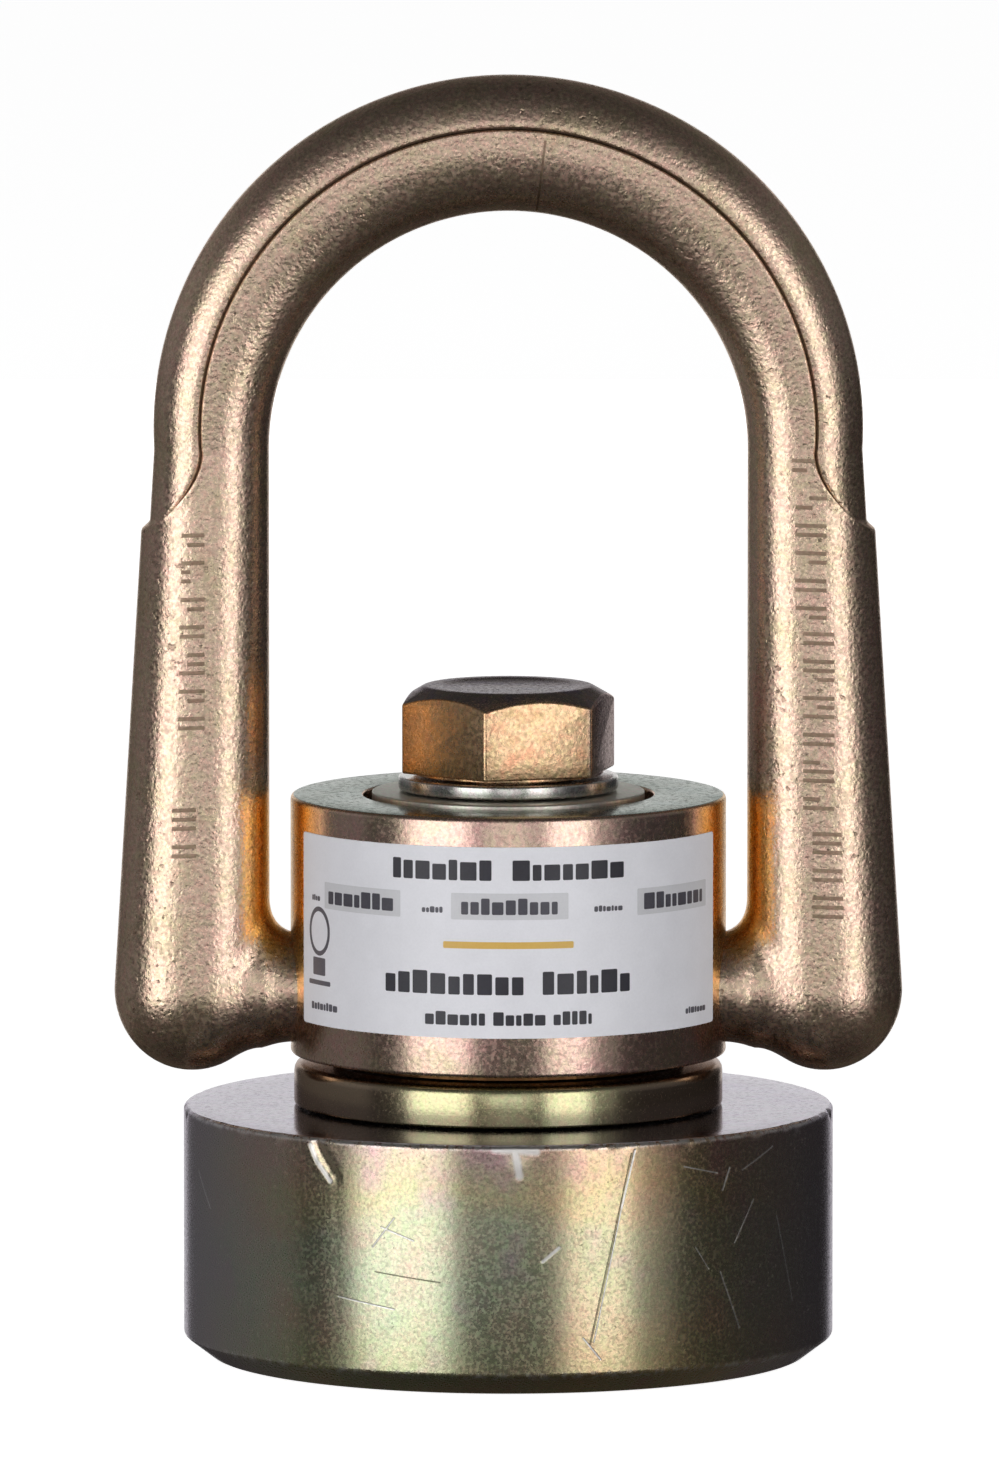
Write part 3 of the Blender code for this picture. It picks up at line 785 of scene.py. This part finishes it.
class Look(Nodes):
    """A node material whose patterns lie in the object's own space."""

    def __init__(self, name, **sockets):
        self.material = bpy.data.materials.new(name)
        self.material.use_nodes = True
        super().__init__(self.material.node_tree)
        self.surface = self.node("BsdfPrincipled", **sockets)
        self.node("OutputMaterial", self.surface.outputs[0])
        self.place = self.node("TexCoord").outputs["Object"]

    def math(self, operation, *values):
        return self.node("Math", *values, operation=operation).outputs[0]

    def times(self, first, second):
        return self.math("MULTIPLY", first, second)

    def axes(self):
        """X, Y and Z in the object's own space."""
        return self.node("SeparateXYZ", self.place).outputs

    def vector(self, operation, *values):
        made = self.node("VectorMath", *values, operation=operation)
        return made.outputs["Value" if operation in ("LENGTH", "DOT_PRODUCT") else "Vector"]

    def moved(self, seed, stretch=(1, 1, 1), turn=(0, 0, 0), source=None):
        shift = (0.37 * seed, 0.71 * seed, -0.53 * seed)
        return self.node("Mapping", source or self.place, shift, turn, stretch).outputs[0]

    def noise(self, size, detail, seed, rough=0.5, source=None):
        """Noise with features of about this many millimetres."""
        made = self.node("TexNoise", Vector=self.moved(seed, source=source), Scale=1 / (size * MM),
                         Detail=detail, Roughness=rough)
        return made.outputs[0]

    def tinted(self, colour, tint):
        return self.blend(1.0, colour, tint, "MULTIPLY")

    def blend(self, factor, first, second, mode="MIX"):
        made = self.node("Mix", data_type="RGBA", blend_type=mode)
        for index, value in ((0, factor), (6, first), (7, second)):
            self.set(made, index, value)
        return made.outputs[2]

    def grey(self, value):
        return self.node("CombineColor", value, value, value).outputs[0]

    def scratches(self, size, width, cover, seed, stretch=(1, 1, 0.16)):
        """Sparse thin lines: 1 on a scratch and 0 off it. Size and width are millimetres."""
        total = None
        for index, turn in enumerate(((0.3, 0.5, 0.2), (-0.7, 0.4, 1.1), (1.2, -0.3, 0.6))):
            place = self.moved(seed + index, stretch, turn)
            cells = self.node("TexVoronoi", Vector=place, Scale=1 / (size * MM), feature="DISTANCE_TO_EDGE")
            line = self.span(cells.outputs["Distance"], 0.0, width / size, 1.0, 0.0)
            mask = self.span(self.noise(size * 1.6, 2, seed + index + 5), 1 - cover, 1.06 - cover)
            line = self.times(line, mask)
            total = line if total is None else self.math("MAXIMUM", total, line)
        return total

    def unrolled(self, radius):
        """Distance round from the front and height, as X and Y of a vector."""
        x, y, z = self.axes()
        angle = self.math("ARCTAN2", x, self.times(y, -1.0))
        return self.node("CombineXYZ", X=self.times(angle, radius), Y=z).outputs[0]

    def stroke(self, flat, start, end, width):
        """1 on one straight scratch between two places on the unrolled surface, in millimetres."""
        first = Vector((*start, 0)) * MM
        run = Vector((*end, 0)) * MM - first
        away = self.vector("SUBTRACT", flat, tuple(first))
        share = self.math("DIVIDE", self.vector("DOT_PRODUCT", away, tuple(run)), run.length_squared)
        share = self.math("MINIMUM", self.math("MAXIMUM", share, 0.0), 1.0)
        along = self.node("VectorMath", tuple(run), operation="SCALE", Scale=share)
        gap = self.vector("LENGTH", self.vector("SUBTRACT", away, along.outputs[0]))
        return self.span(gap, width * MM * 0.35, width * MM, 1.0, 0.0)

    def strokes(self, flat, table, value=None):
        """The value, or 1 on any scratch of a table of (left, low, right, high, width)."""
        for left, low, right, high, width in table:
            line = self.stroke(flat, (left, low), (right, high), width)
            value = line if value is None else self.math("MAXIMUM", value, line)
        return value

    def bump(self, height, distance, normal=None):
        made = self.node("Bump", Height=height, Distance=distance)
        if normal is not None:
            self.set(made, "Normal", normal)
        return made.outputs[0]

    def finish(self, colour, roughness, normal):
        for name, value in (("Base Color", colour), ("Roughness", roughness), ("Normal", normal)):
            self.set(self.surface, name, value)
        return self.material


# One plated finish, in millimetres: colours that drift into each other and the size of that drift,
# strength and size of the fine mottling, height and size of the grain, lowest and highest roughness,
# share of the surface crossed by fine scratches, and the tint at grazing angles
Plating = namedtuple("Plating", "tints patch speck speck_size grain grain_size rough wear edge")


def plated(name, finish, extra=None):
    """A zinc-and-chromate plated steel surface."""
    look = Look(name, Metallic=1.0, Specular_Tint=(*finish.edge, 1))
    drift = look.noise(finish.patch, 3, 1, rough=0.6)
    stops = [(0.32 + 0.36 * i / (len(finish.tints) - 1), srgb(*tint)) for i, tint in enumerate(finish.tints)]
    colour = look.ramp(drift, *stops)
    fine = look.noise(finish.speck_size, 3, 2, rough=0.62)
    colour = look.tinted(colour, look.grey(look.span(fine, 0.3, 0.7, 1 - finish.speck, 1 + finish.speck)))
    hue = look.ramp(look.noise(finish.speck_size * 1.9, 2, 3), (0.36, (1.05, 0.96, 0.98, 1)),
                    (0.5, (1, 1, 1, 1)), (0.64, (0.96, 1.02, 0.95, 1)))
    colour = look.tinted(colour, hue)
    coarse = look.noise(finish.grain_size, 2, 4, rough=0.55)
    rough = look.span(look.noise(finish.speck_size * 1.2, 3, 6, rough=0.6), 0.47, 0.66, *finish.rough)
    worn = look.scratches(5.0, 0.10, finish.wear, 20)
    colour = look.blend(look.times(worn, 0.6), colour, srgb(226, 224, 216))
    normal = look.bump(coarse, finish.grain * MM)
    if extra:
        colour, rough, normal = extra(look, colour, rough, normal)
    return look.finish(colour, rough, normal)


# ---- the finishes

BAIL_FINISH = Plating([(216, 184, 166), (214, 188, 166), (206, 184, 156)], 9.0, 0.24, 0.5, 0.085, 0.6,
    (0.25, 0.4), 0.03, (0.8, 0.74, 0.68))
BODY_FINISH = Plating([(210, 174, 164), (206, 178, 162), (196, 176, 152)], 8.0, 0.16, 0.5, 0.025, 0.7,
    (0.22, 0.34), 0.05, (0.8, 0.74, 0.68))
BASE_FINISH = Plating([(192, 178, 156), (188, 186, 160), (178, 184, 156), (182, 172, 164)], 12.0, 0.14,
    0.4, 0.016, 0.7, (0.23, 0.36), 0.05, (0.72, 0.69, 0.78))
FLANGE_FINISH = Plating([(184, 171, 135), (182, 178, 140), (175, 175, 139)], 10.0, 0.1, 0.4, 0.012, 0.7,
    (0.19, 0.28), 0.04, (0.6, 0.54, 0.52))
BOLT_FINISH = Plating([(214, 164, 130), (206, 176, 140), (190, 154, 118)], 3.0, 0.24, 0.5, 0.05, 0.7,
    (0.26, 0.38), 0.03, (0.86, 0.76, 0.7))
# Painted reflection: darker, tinted copies of the plating for upward faces, grey-green on the body and lilac
# on the base, standing in for the sky they reflect
GREEN_TOP_REFLECTION = Plating([(162, 172, 166), (168, 172, 162), (152, 162, 154)], 9.0, 0.14, 0.55, 0.015, 0.8,
    (0.16, 0.32), 0.04, (0.5, 0.52, 0.5))
LILAC_TOP_REFLECTION = Plating([(168, 163, 172), (168, 166, 166), (160, 154, 164)], 12.0, 0.1, 0.6, 0.01, 0.8,
    (0.13, 0.24), 0.04, (0.7, 0.68, 0.72))
DARK_TOP = Plating([(154, 142, 146), (162, 150, 138), (144, 134, 144)], 4.0, 0.2, 0.5, 0.02, 0.8,
    (0.22, 0.38), 0.03, (0.42, 0.4, 0.42))
WASHER_FINISH = Plating([(222, 220, 210), (228, 224, 212)], 6.0, 0.12, 0.5, 0.015, 0.8, (0.36, 0.48),
    0.05, (0.72, 0.72, 0.7))
STAMP_FINISH = Plating([(172, 148, 128), (154, 132, 112)], 3.0, 0.2, 0.4, 0.06, 0.5, (0.4, 0.5), 0.0,
    (0.6, 0.55, 0.5))
# Painted shade: darker plating for the faces in the step's corner on the bail
CREASE_SHADE = Plating([(116, 97, 82), (96, 80, 67)], 3.0, 0.3, 0.5, 0.05, 0.5, (0.45, 0.6), 0.0,
    (0.5, 0.45, 0.4))
BRIGHT_FINISH = Plating([(202, 200, 198), (208, 204, 198)], 6.0, 0.1, 0.5, 0.012, 0.8, (0.22, 0.32),
    0.06, (0.9, 0.9, 0.9))
BRONZE_FINISH = Plating([(120, 86, 56), (100, 72, 48)], 5.0, 0.16, 0.5, 0.01, 0.8, (0.35, 0.5), 0.03,
    (0.6, 0.5, 0.4))
SPRING_FINISH = Plating([(74, 74, 78), (60, 60, 66)], 4.0, 0.14, 0.5, 0.01, 0.7, (0.35, 0.48), 0.04,
    (0.6, 0.6, 0.6))
SILVER = srgb(232, 230, 228)


def base_details(look, colour, rough, normal):
    """Long scratches, the bright gouge, the scuffed rim and the dirtier foot of the weld disc, and painted
    reflection tints on its right half and on its sides.
    """
    flat = look.unrolled(base.radius)
    x, _, height = look.axes()
    drift = look.noise(10.0, 2, 33)
    drift = look.math("MULTIPLY_ADD", drift, 0.4, look.span(height, 0, base.high, -0.2, 0.8))
    colour = look.tinted(colour, look.ramp(drift, *BASE_BANDS))
    # Painted reflection colour: the right half is tinted peach, for the warm highlight there
    warm = look.span(x, 0.0, 10 * MM)
    colour = look.blend(warm, colour, look.tinted(colour, (1.06, 0.92, 0.84, 1)))
    # Painted reflection colour: the left and right sides fade to grey-lilac, for the grazing reflection
    # there
    sides = look.span(look.math("ABSOLUTE", x), 30 * MM, 44 * MM, 0.0, 0.8)
    colour = look.blend(sides, colour, srgb(178, 174, 176))
    ragged = look.noise(1.1, 3, 31, rough=0.7)
    top = base.high
    rim = look.span(height, top - 0.9 * MM, top - 0.25 * MM)
    rim = look.times(rim, look.span(ragged, 0.40, 0.50))
    low_edge = look.span(height, CHAMFER_HEIGHT + 0.7 * MM, CHAMFER_HEIGHT)
    low_edge = look.times(low_edge, look.span(ragged, 0.50, 0.58))
    low_edge = look.times(low_edge, look.span(height, CHAMFER_HEIGHT - 0.8 * MM, CHAMFER_HEIGHT - 0.2 * MM))
    bright = look.math("MAXIMUM", rim, look.times(low_edge, 0.7))
    bright = look.strokes(flat, BASE_SCRATCHES, bright)
    dark = look.strokes(flat, BASE_SCORES)
    colour = look.blend(look.times(bright, 0.85), colour, SILVER)
    colour = look.blend(look.times(dark, 0.55), colour, srgb(70, 64, 50))
    normal = look.bump(look.math("ADD", bright, dark), -0.03 * MM, normal)
    rough = look.math("MULTIPLY_ADD", bright, 0.08, rough)
    marks = look.times(look.span(look.noise(0.45, 2, 35), 0.60, 0.68),
                       look.span(look.noise(7.0, 2, 36), 0.40, 0.60))
    rough = look.math("MAXIMUM", rough, look.times(marks, 0.52))
    return colour, rough, normal


# Tint of the weld disc's side from its foot (0) up to its rim (1)
BASE_BANDS = ((0.05, (1.02, 0.96, 0.82, 1)), (0.35, (0.98, 1.0, 1.0, 1)), (0.62, (0.98, 0.98, 1.0, 1)),
              (0.80, (1.08, 0.95, 0.84, 1)), (0.97, (1.10, 0.86, 0.94, 1)))

# Scratches on the weld disc, in mm: start and end, each as distance round from the front and height,
# and then the width
BASE_SCRATCHES = [
    (-31, 35.9, -29.9, 33.6, 0.5), (-29.9, 33.6, -27.4, 30.8, 0.5), (18.9, 35.9, 16.8, 27.5, 0.22),
    (16.8, 27.5, 12.6, 8, 0.12), (5, 20, 7.4, 22, 0.34), (-2, 36.6, 4, 36.2, 0.9),
    (1, 36, 1.6, 32.6, 0.8), (34, 29, 35.4, 32.2, 0.2), (27, 33, 33, 31.6, 0.14),
    (38, 31.6, 45, 34.4, 0.14), (33.6, 17, 37.4, 8.4, 0.16), (29, 21, 31.4, 17.6, 0.12),
    (46, 24, 50.4, 11, 0.16), (-19, 24.6, -14, 22.8, 0.16), (-26, 14, -17, 12.6, 0.16),
    (-17, 26, -20.4, 21.6, 0.14), (11, 8.6, 13.6, 5.4, 0.18), (40.4, 27, 36.4, 21, 0.12),
    (-60, 29, -55, 24, 0.14), (78, 30, 84, 18, 0.16), (118, 28, 110, 12, 0.16),
    (-96, 32, -101, 16, 0.16), (139, 22, 146, 25, 0.2), (-140, 12, -131, 26, 0.14)]
BASE_SCORES = [
    (18.4, 35.4, 12, 7.6, 0.16), (-20, 18, -10, 16.8, 0.1), (128, 33, 121, 9, 0.14)]

# Painted reflection: the gold-orange light that bail and body throw on each other
REFLECTED_GOLD = srgb(246, 200, 118)


def painted_gold_reflection(look, colour, near, far, low, high):
    """Painted reflection: gold-orange colour where bail and body face each other, standing in for light
    bounced between them. Distances and heights in mm.
    """
    x, _, z = look.axes()
    reach = look.math("ABSOLUTE", x)
    mask = None
    for value, (start, end) in ((reach, near), (reach, reversed(far)), (z, low), (z, reversed(high))):
        fade = look.span(value, start * MM, end * MM)
        mask = fade if mask is None else look.times(mask, fade)
    patchy = look.span(look.noise(4.0, 2, 61), 0.3, 0.6, 0.45, 0.95)
    return look.blend(look.times(mask, patchy), colour, REFLECTED_GOLD)


def bail_details(look, colour, rough, normal):
    pits = look.times(look.span(look.noise(1.1, 2, 63), 0.62, 0.72),
                      look.span(look.noise(14.0, 2, 64), 0.42, 0.60))
    colour = look.blend(look.times(pits, 0.6), colour, srgb(112, 92, 76))
    normal = look.bump(pits, -0.05 * MM, normal)
    # Painted reflection of the body's side on the inner side of each leg
    colour = painted_gold_reflection(look, colour, (32, 34), (35.8, 38.2), (58, 66), (80, 86))
    return colour, rough, normal


def body_details(look, colour, rough, normal):
    # Painted reflection of the legs on the body's sides, beside the trunnions
    colour = painted_gold_reflection(look, colour, (27.2, 28.8), (50, 51), (50, 58), (82, 84))
    return turned_bands(look, colour, rough, normal)


def bolt_details(look, colour, rough, normal):
    x = look.axes()[0]
    # Painted reflection: the head's left side is tinted brighter orange
    warm = look.times(look.span(x, -4 * MM, -11 * MM),
                      look.span(look.noise(2.2, 3, 62), 0.35, 0.6, 0.4, 0.9))
    colour = look.blend(warm, colour, srgb(246, 186, 122))
    # Painted reflection: the head's right side fades to purple-grey
    cool = look.span(x, 11.5 * MM, 13.5 * MM, 0.0, 0.8)
    return look.blend(cool, colour, srgb(176, 164, 180)), rough, normal


def flange_details(look, colour, rough, normal):
    # Painted reflection: the flange's left and right sides are tinted darker brown, for the dark reflections
    # they show
    sides = look.span(look.math("ABSOLUTE", look.axes()[0]), 13 * MM, 20 * MM, 0.0, 0.85)
    colour = look.blend(sides, colour, srgb(166, 144, 126))
    return turned_bands(look, colour, rough, normal)


def turned_rings(look, colour, rough, normal):
    """Faint rings left by facing on a lathe."""
    x, y, _ = look.axes()
    flat = look.node("CombineXYZ", X=x, Y=y)
    reach = look.node("CombineXYZ", X=look.vector("LENGTH", flat.outputs[0]))
    rings = look.noise(0.35, 2, 41, source=reach.outputs[0])
    return colour, rough, look.bump(rings, 0.004 * MM, normal)


def turned_bands(look, colour, rough, normal):
    """Faint bands left by turning, one above another."""
    rise = look.node("CombineXYZ", Z=look.axes()[2])
    bands = look.noise(0.4, 2, 42, source=rise.outputs[0])
    return colour, rough, look.bump(bands, 0.003 * MM, normal)


def printed(name, ink, darker):
    """Printed vinyl: slightly uneven ink over a fine orange-peel surface."""
    look = Look(name, Roughness=0.42)
    patch = look.noise(7.0, 3, 50, rough=0.6)
    grain = look.noise(0.35, 2, 51)
    colour = look.ramp(look.math("MULTIPLY_ADD", grain, 0.35, look.times(patch, 0.65)),
                       (0.3, srgb(*darker)), (0.7, srgb(*ink)))
    rough = look.span(patch, 0.3, 0.7, 0.36, 0.48)
    return look.finish(colour, rough, look.bump(grain, 0.006 * MM))


# ---- putting it together

def place(item, on, slot, stands_for, *materials):
    item.data.materials.clear()
    for material in materials:
        item.data.materials.append(material)
    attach(item, on)
    if stands_for:
        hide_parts(stands_for)
    return item


bail = make_bail()
bail.data.materials.append(plated("bail_plating", BAIL_FINISH, bail_details))
# Painted shade in the step's corner
bail.data.materials.append(plated("bail_crease_shade", CREASE_SHADE))
stamp_bail(bail, plated("stamp_floor", STAMP_FINISH))
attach(bail, "bail")
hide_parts("bail")

# The disc's upward faces take a painted reflection of the sky
disc = place(make_base(), "base", "plated_steel", "base_disc",
             plated("base_plating", BASE_FINISH, base_details),
             plated("base_top_reflection", LILAC_TOP_REFLECTION, turned_rings))
mark_upper_faces(disc)
place(make_bushing(), "base", "plated_steel", "flanged_bushing",
      plated("flange_plating", FLANGE_FINISH, flange_details))
# The body's upward faces take a painted reflection of the sky
shell = place(make_body(), "swivel", "plated_steel", "swivel_body",
              plated("body_plating", BODY_FINISH, body_details),
              plated("body_top_reflection", GREEN_TOP_REFLECTION, turned_rings))
mark_upper_faces(shell)
place(make_plain_washer("retaining_washer_fine", retainer, BOLT_HOLE, 0.35 * MM), "base", "bright_steel",
      "retaining_washer", plated("washer_plating", WASHER_FINISH, turned_rings))
place(make_plain_washer("head_washer_fine", head_washer, BOLT_HOLE, 0.4 * MM), "base", "bright_steel",
      "head_washer", plated("bright_zinc", BRIGHT_FINISH, turned_rings))
screw = place(make_bolt(), "base", "plated_steel", "hex_bolt",
              plated("bolt_plating", BOLT_FINISH, bolt_details),
              plated("bolt_top_plating", DARK_TOP, turned_rings))
mark_upper_faces(screw, limit=0.6)
place(make_label(), "swivel", "vinyl", "label", printed("label_face", (242, 242, 248), (232, 232, 238)))
prints = (("label_fields", FIELDS, (), (218, 218, 222), (208, 208, 212)),
          ("label_lines", DARK_BARS, (), (52, 50, 60), (40, 38, 46)),
          ("label_small_lines", FINE_BARS + ICON_BARS, ICON_RING, (96, 94, 104), (78, 76, 84)),
          ("label_stripe", STRIPE, (), (228, 190, 96), (220, 176, 84)))
for name, bars, rings, ink, darker in prints:
    place(make_print(name, bars, rings), "swivel", "vinyl", None, printed(name + "_ink", ink, darker))
place(make_print("label_field_lines", FIELD_BARS, (), 0.02), "swivel", "vinyl", None,
      printed("field_ink", (84, 82, 92), (68, 66, 74)))

bronze_look = plated("bearing_bronze", BRONZE_FINISH, turned_rings)
spring_look = plated("black_spring_steel", SPRING_FINISH)
for node, material in (("lower_thrust_washer", bronze_look), ("upper_thrust_washer", bronze_look),
                       ("retaining_ring", spring_look)):
    mesh = frame["nodes"][node].data
    mesh.materials.clear()
    mesh.materials.append(material)


# ---- floor, light and camera

def studio_white(name, glow):
    look = Look(name, Base_Color=(0.8, 0.8, 0.8, 1), Roughness=0.9, Specular_IOR_Level=0.0,
                Emission_Color=(1, 1, 1, 1), Emission_Strength=glow)
    return look.material


def add_stage():
    disc = bmesh.new()
    bmesh.ops.create_circle(disc, cap_ends=True, segments=96, radius=9.0)
    floor = new_object("floor", disc)
    floor.location.z = -0.2 * MM
    tube = bmesh.new()
    bmesh.ops.create_cone(tube, segments=96, radius1=8.9, radius2=8.9, depth=9.0)
    wall = new_object("backdrop", tube)
    wall.location.z = 4.4
    for item, glow in ((floor, 0.90), (wall, 1.05)):
        item.data.materials.append(studio_white(item.name + "_white", glow))
        item.visible_glossy = False
        item.visible_shadow = False
        item.visible_diffuse = False


def aim_at(item, target):
    item.rotation_euler = (target - item.location).to_track_quat("-Z", "Y").to_euler()


def add_light(name, azimuth, distance, height, size, radiance):
    """A soft panel. Azimuth is degrees from the front, towards +X, and radiance sets its power."""
    data = bpy.data.lights.new(name, "AREA")
    data.shape = "RECTANGLE"
    data.size, data.size_y = size
    data.energy = radiance * pi * size[0] * size[1]
    item = link(name, data)
    turn = radians(azimuth)
    item.location = (distance * sin(turn), -distance * cos(turn), height)
    aim_at(item, Vector((0, 0, 0.06)))
    item.visible_camera = False
    return item


def add_world():
    world = bpy.data.worlds.new("studio")
    bpy.context.scene.world = world
    world.use_nodes = True
    sky = Nodes(world.node_tree)
    direction = sky.node("SeparateXYZ", sky.node("TexCoord").outputs["Generated"])
    rise = sky.span(direction.outputs[2], -1, 1)
    glow = sky.ramp(rise, *[(position, (*value, 1)) for position, value in SKY])
    sky.node("OutputWorld", sky.node("Background", glow).outputs[0])


# World brightness from straight down (0) to straight up (1), with the horizon at 0.5
SKY = [(0.0, (0.030, 0.028, 0.026)), (0.2, (0.085, 0.080, 0.074)), (0.4, (0.040, 0.038, 0.038)),
       (0.48, (0.035, 0.034, 0.036)), (0.55, (0.10, 0.10, 0.11)), (0.72, (0.17, 0.17, 0.17)),
       (0.86, (0.08, 0.08, 0.08)), (1.0, (0.05, 0.05, 0.05))]

add_stage()
add_world()
add_light("left_panel", -37.5, 1.2, 0.08, (0.75, 0.86), 2.3)
add_light("right_panel", 32, 1.3, 0.12, (0.55, 0.96), 2.25)
add_light("front_low", 0, 1.6, 0.01, (0.70, 0.22), 1.5)
add_light("front_high", 0, 1.6, 0.37, (0.70, 0.50), 0.75)
add_light("right_edge", 53, 1.3, 0.12, (0.30, 0.96), 0.25)
add_light("left_fill", -118, 1.5, 0.05, (2.4, 1.6), 0.12)
add_light("back_panel", 180, 1.5, 0.05, (1.1, 0.8), 1.1)
for side, radiance in ((-58, 1.4), (58, 1.6)):
    add_light("soft_fill", side, 1.3, 0.1, (0.8, 1.0), radiance).visible_glossy = False

CAMERA_SIDE = -1.3 * MM              # a little left of the middle
CAMERA_DISTANCE = 3.0
CAMERA_HEIGHT = 0.433
CAMERA_AIM = 0.0924                  # height of the point that it looks at
camera = link("camera", bpy.data.cameras.new("camera"))
camera.location = (CAMERA_SIDE, -CAMERA_DISTANCE, CAMERA_HEIGHT)
aim_at(camera, Vector((CAMERA_SIDE, 0, CAMERA_AIM)))
camera.data.sensor_width = 36
camera.data.lens = 505.4
camera.data.clip_end = 40
bpy.context.scene.camera = camera
bpy.context.scene.view_settings.view_transform = "Standard"
